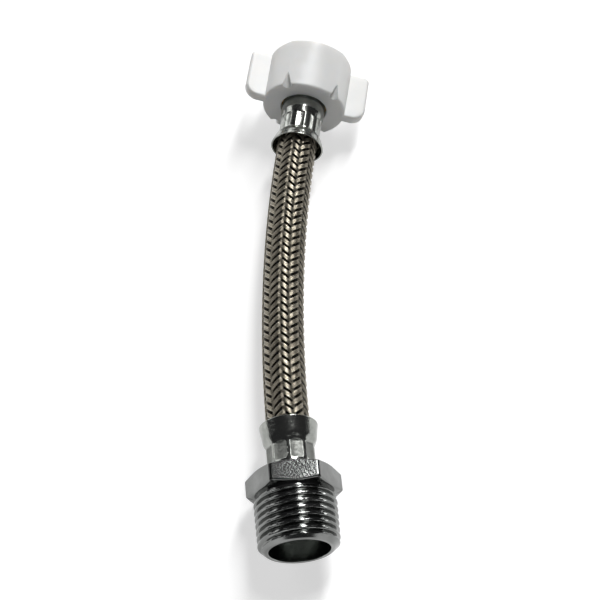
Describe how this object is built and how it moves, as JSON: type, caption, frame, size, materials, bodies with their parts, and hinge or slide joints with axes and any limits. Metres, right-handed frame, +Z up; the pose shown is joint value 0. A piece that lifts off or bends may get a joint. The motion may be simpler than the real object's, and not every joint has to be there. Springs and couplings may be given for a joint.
{
  "type": "braided supply line",
  "caption": "Short braided water supply line with a plated male pipe-thread fitting at one end and a plastic wing nut that swivels on a flanged stem at the other.",
  "frame": {"origin": "on the inlet thread's axis, where the thread's first full crest begins", "axes": "+Y along the inlet's axis towards the hose, +Z up from the table that the line lies on"},
  "size_m": [0.0479, 0.1602, 0.0256],
  "materials": {
    "plated_brass": "bright nickel plate over turned and cast brass",
    "ferrule_steel": "polished stainless steel, crimped",
    "braid_steel": "bright drawn stainless wire",
    "tube_rubber": "smooth black rubber",
    "stem_brass": "turned brass",
    "washer_rubber": "moulded black rubber",
    "nut_plastic": "moulded white plastic, satin"
  },
  "bodies": {
    "inlet_end": {"male_fitting": "plated_brass", "inlet_ferrule": "ferrule_steel", "inner_tube": "tube_rubber", "braid_sleeve": "braid_steel"},
    "outlet_end": {"outlet_ferrule": "ferrule_steel", "outlet_stem": "stem_brass", "cone_washer": "washer_rubber"},
    "nut": {"wing_nut": "nut_plastic"}
  },
  "joints": [
    {"name": "hose_flex", "type": "hinge", "parent": "inlet_end", "child": "outlet_end", "pos_m": [0.00259, 0.0791, 0.0003], "axis": [0, 0, 1], "range_deg": [-30, 30], "stiffness_Nm_per_rad": 0.3, "deforming": ["inner_tube", "braid_sleeve"]},
    {"name": "nut_swivel", "type": "hinge", "parent": "outlet_end", "child": "nut", "pos_m": [0.01361, 0.13874, 0.00155], "axis": [0.2235, 0.9744, 0.0255], "continuous": true}
  ]
}
